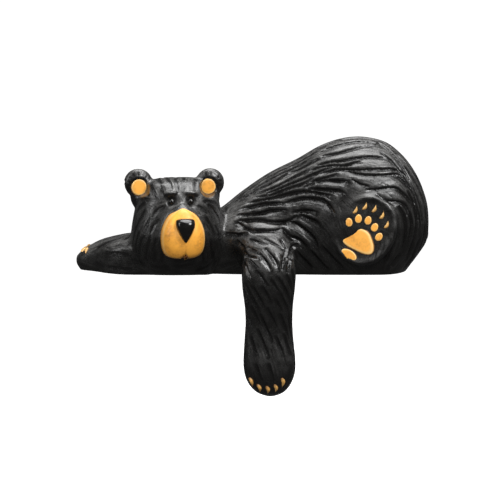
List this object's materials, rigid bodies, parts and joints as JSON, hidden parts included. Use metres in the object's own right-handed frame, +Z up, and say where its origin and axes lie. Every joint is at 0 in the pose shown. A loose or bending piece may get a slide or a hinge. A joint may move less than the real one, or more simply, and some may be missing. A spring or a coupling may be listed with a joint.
{
  "type": "bear sculpture",
  "caption": "Carved black bear shelf sitter, lying along a shelf edge with one arm hanging over the front; one painted casting.",
  "frame": {"origin": "on the flat underside of the belly that rests on the shelf, 34 mm behind the shelf's front face, under the rear of the front shoulder", "axes": "+X from the head to the tail, along the shelf; -Y out over the front of the shelf, the way the face and the sole look; +Z up"},
  "size_m": [0.208, 0.1067, 0.1458],
  "materials": {
    "black_paint": "satin black paint, brushed grey on the ridges of the fur, over cast resin",
    "tan_paint": "satin tan paint with a thin brown wash, on the muzzle, ears and pads",
    "gloss_black": "high-gloss black, on the nose and eyes",
    "claw_paint": "satin tan paint with brown edges, on the claws"
  },
  "bodies": {
    "root": {"bear": "black_paint"}
  },
  "joints": []
}
